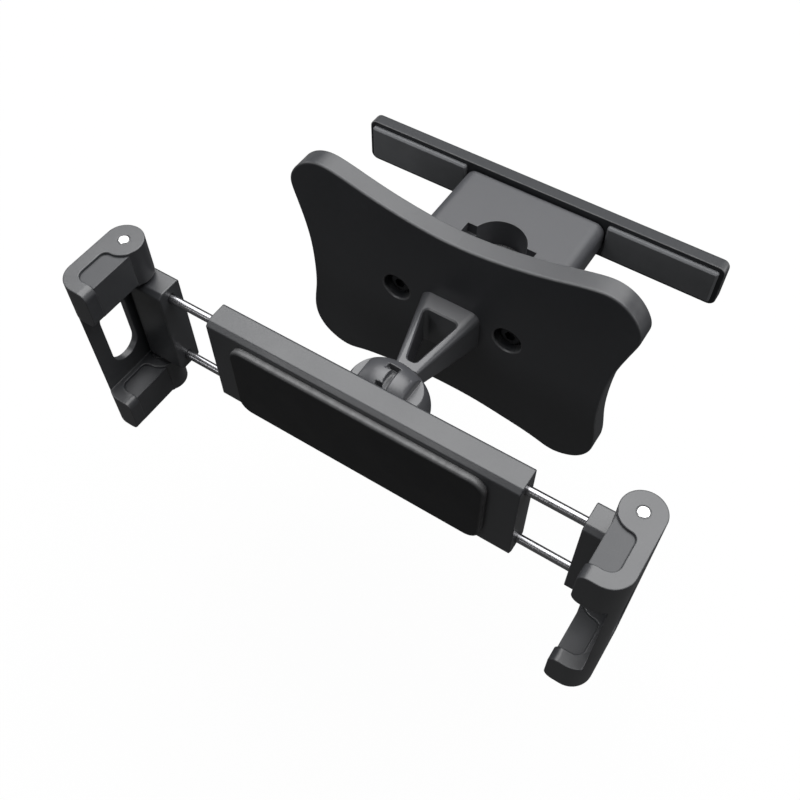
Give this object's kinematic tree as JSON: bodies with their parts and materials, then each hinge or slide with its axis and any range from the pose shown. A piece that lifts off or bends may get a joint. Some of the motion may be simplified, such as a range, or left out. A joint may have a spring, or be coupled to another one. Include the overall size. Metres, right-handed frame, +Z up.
{
  "type": "tablet holder",
  "caption": "Car seat tablet holder: wing plate and screw clamp for head restraint posts, ball joint, and a grip with folding hooked claws on sliding rods.",
  "frame": {"origin": "centre of the wing plate's back face, the face that lies against the seat", "axes": "+X along the holder, +Y from the tablet to the seat, +Z up"},
  "size_m": [0.218, 0.1641, 0.1019],
  "materials": {
    "dark_plastic": "fine satin",
    "grey_plastic": "satin",
    "claw_plastic": "satin",
    "pad_rubber": "matt",
    "insert_rubber": "matt",
    "liner_plastic": "natural",
    "rod_chrome": "polished",
    "bright_steel": "ground",
    "black_steel": "black oxide"
  },
  "bodies": {
    "seat_mount": {"wing_plate": "dark_plastic", "ball_arm": "grey_plastic", "arm_screws": "black_steel", "clamp_block": "grey_plastic", "pocket_ring": "bright_steel", "block_screws": "black_steel"},
    "clamp_bar": {"rear_bar": "dark_plastic", "bar_sleeves": "bright_steel", "bar_pad_left": "pad_rubber", "bar_pad_right": "pad_rubber"},
    "clamp_screw_left": {"clamp_screw_left": "black_steel"},
    "clamp_screw_right": {"clamp_screw_right": "black_steel"},
    "liner": {"ball_liner": "liner_plastic"},
    "ball_seat": {"seat_ring": "grey_plastic"},
    "holder": {"front_shell": "dark_plastic", "back_cover": "dark_plastic", "ball_cup": "dark_plastic", "front_pad": "pad_rubber", "cover_screws": "black_steel", "guide_bush_upper_left": "liner_plastic", "guide_bush_upper_right": "liner_plastic", "guide_bush_lower_left": "liner_plastic", "guide_bush_lower_right": "liner_plastic"},
    "lock_nut": {"ring_nut": "grey_plastic"},
    "jaw_left": {"carriage_left": "claw_plastic", "rod_upper_left": "rod_chrome", "rod_lower_left": "rod_chrome", "rod_collars_left": "bright_steel"},
    "claw_left": {"claw_left": "claw_plastic", "finger_pad_upper_left": "insert_rubber", "finger_pad_lower_left": "insert_rubber", "hinge_pin_left": "bright_steel", "pin_washers_left": "claw_plastic"},
    "jaw_right": {"carriage_right": "claw_plastic", "rod_upper_right": "rod_chrome", "rod_lower_right": "rod_chrome", "rod_collars_right": "bright_steel"},
    "claw_right": {"claw_right": "claw_plastic", "finger_pad_upper_right": "insert_rubber", "finger_pad_lower_right": "insert_rubber", "hinge_pin_right": "bright_steel", "pin_washers_right": "claw_plastic"}
  },
  "joints": [
    {"name": "screw_turn_left", "type": "hinge", "parent": "seat_mount", "child": "clamp_screw_left", "pos_m": [-0.025, 0, 0.0042], "axis": [0, 1, 0], "range_deg": [0, 5761]},
    {"name": "screw_turn_right", "type": "hinge", "parent": "seat_mount", "child": "clamp_screw_right", "pos_m": [0.025, 0, 0.0042], "axis": [0, 1, 0], "range_deg": [0, 5761]},
    {"name": "bar_slide", "type": "slide", "parent": "seat_mount", "child": "clamp_bar", "axis": [0, 1, 0], "range_m": [0, 0.016]},
    {"name": "ball_pan", "type": "hinge", "parent": "seat_mount", "child": "liner", "pos_m": [0, -0.0526, 0], "axis": [0, 0, 1], "range_deg": [-14, 14]},
    {"name": "ball_tilt", "type": "hinge", "parent": "liner", "child": "ball_seat", "pos_m": [0, -0.0526, 0], "axis": [1, 0, 0], "range_deg": [-14, 14]},
    {"name": "ball_roll", "type": "hinge", "parent": "ball_seat", "child": "holder", "pos_m": [0, -0.0526, 0], "axis": [0, 1, 0], "continuous": true},
    {"name": "nut_turn", "type": "hinge", "parent": "holder", "child": "lock_nut", "pos_m": [0, -0.0526, 0], "axis": [0, 1, 0], "range_deg": [-90, 0]},
    {"name": "jaw_slide_right", "type": "slide", "parent": "holder", "child": "jaw_right", "axis": [1, 0, 0], "range_m": [-0.0185, 0.022]},
    {"name": "jaw_slide_left", "type": "slide", "parent": "holder", "child": "jaw_left", "axis": [-1, 0, 0], "range_m": [-0.0185, 0.022]},
    {"name": "claw_fold_right", "type": "hinge", "parent": "jaw_right", "child": "claw_right", "pos_m": [0.1015, -0.0693, 0], "axis": [0, 0, -1], "range_deg": [0, 88]},
    {"name": "claw_fold_left", "type": "hinge", "parent": "jaw_left", "child": "claw_left", "pos_m": [-0.1015, -0.0693, 0], "axis": [0, 0, 1], "range_deg": [0, 88]}
  ],
  "couplings": [
    {"joint": "screw_turn_left", "follows": "bar_slide", "rad_per_m": 6283.2},
    {"joint": "screw_turn_right", "follows": "bar_slide", "rad_per_m": 6283.2}
  ]
}
